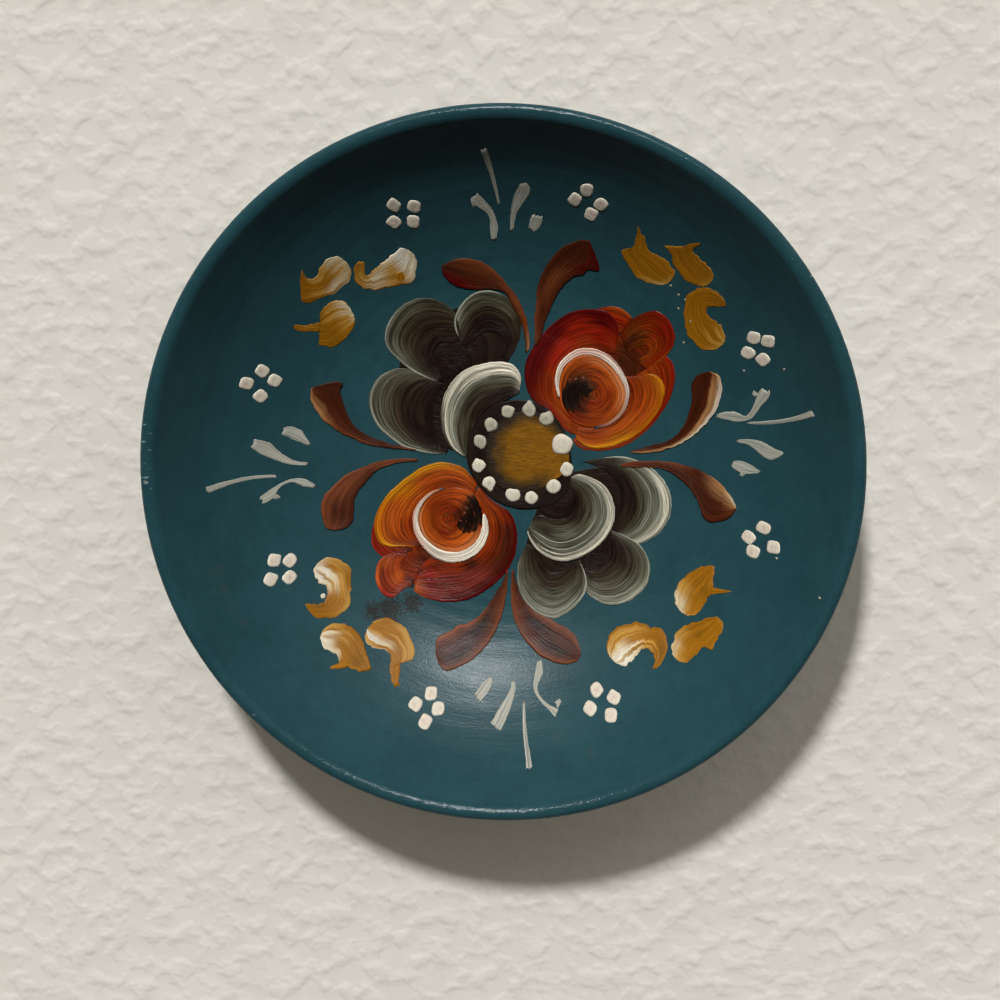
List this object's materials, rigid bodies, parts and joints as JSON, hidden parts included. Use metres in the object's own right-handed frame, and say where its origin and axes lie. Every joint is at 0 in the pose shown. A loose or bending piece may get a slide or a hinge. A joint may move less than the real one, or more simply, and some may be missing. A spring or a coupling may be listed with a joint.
{
  "type": "wooden wall plate",
  "caption": "Deep dished round plate turned from wood, painted with folk flowers, with a brass strap and swinging wire ring pinned inside its foot so that it can hang on a wall.",
  "frame": {"origin": "middle of the foot ring, on the surface that the plate lies on", "axes": "+Z out of the dish, away from the wall when it hangs; +Y towards the top of the plate as it hangs; +X to the right as it is looked at"},
  "size_m": [0.2, 0.2, 0.045],
  "materials": {
    "painted_wood": "satin teal oil paint on turned wood, with hand painted flowers, light scuffs and worn edges",
    "strap_brass": "dull rolled brass sheet",
    "ring_brass": "drawn brass wire, dulled with age",
    "pin_brass": "domed brass heads, dulled with age",
    "red_paint": "satin oil paint, streaked by the brush from dark red to orange",
    "grey_paint": "satin oil paint, streaked by the brush from black to pale grey",
    "ochre_paint": "satin oil paint, streaked by the brush from ochre to cream",
    "brown_paint": "satin oil paint in red brown",
    "cream_paint": "thick cream oil paint that stands up in dots"
  },
  "bodies": {
    "plate": {"turned_plate": "painted_wood", "hanger_strap": "strap_brass", "hanger_pin_upper": "pin_brass", "hanger_pin_lower": "pin_brass"},
    "ring": {"hanger_ring": "ring_brass"}
  },
  "joints": [
    {"name": "ring_swing", "type": "hinge", "parent": "plate", "child": "ring", "pos_m": [0, 0.0326, 0.00255], "axis": [-1, 0, 0], "range_deg": [-2, 168]}
  ]
}
